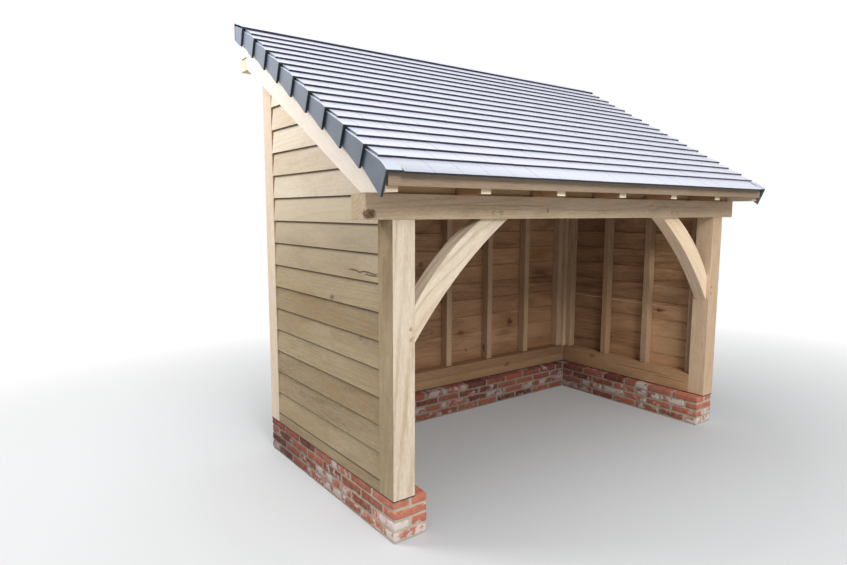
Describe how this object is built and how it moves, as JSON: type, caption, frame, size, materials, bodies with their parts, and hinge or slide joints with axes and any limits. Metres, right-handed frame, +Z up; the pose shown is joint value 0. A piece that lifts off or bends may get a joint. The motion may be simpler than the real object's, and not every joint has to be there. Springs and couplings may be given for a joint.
{
  "type": "bike shelter",
  "caption": "Open-fronted lean-to bike shelter with oak posts and curved braces on a low brick plinth, board-clad sides and back, and a plain-tiled single-pitch roof.",
  "frame": {"origin": "centre of the footprint of the overall box, at ground level", "axes": "+X right as seen from the open front, +Y towards the back wall, +Z up"},
  "size_m": [3.396, 1.783, 2.8366],
  "materials": {
    "oak": "sawn, lightly weathered",
    "shaded_oak": "sawn",
    "cladding": "sawn feather-edge boards",
    "roof_board": "sawn softwood",
    "brick": "rough, lime-washed in patches",
    "roof_tile": "matt"
  },
  "bodies": {
    "root": {"back_post_left": "oak", "back_post_right": "oak", "battens": "roof_board", "blocking": "shaded_oak", "blocking_back": "shaded_oak", "brace_left": "oak", "brace_right": "oak", "cladding_back": "cladding", "cladding_left": "cladding", "cladding_right": "cladding", "common_rafters": "oak", "fascia": "oak", "front_beam": "oak", "front_post_left": "oak", "front_post_right": "oak", "gable_left": "cladding", "gable_right": "cladding", "plinth_back": "brick", "plinth_left": "brick", "plinth_right": "brick", "rail_back": "oak", "rear_beam": "oak", "ridge": "roof_tile", "roof_deck": "roof_board", "sill_back": "oak", "sill_left": "oak", "sill_right": "oak", "studs_back": "shaded_oak", "studs_left": "shaded_oak", "studs_right": "shaded_oak", "tile_field": "roof_tile", "top_batten": "roof_board", "verge_rafter_left": "oak", "verge_rafter_right": "oak", "verge_tiles_left": "roof_tile", "verge_tiles_right": "roof_tile", "wall_rafter_left": "oak", "wall_rafter_right": "oak"}
  },
  "joints": []
}
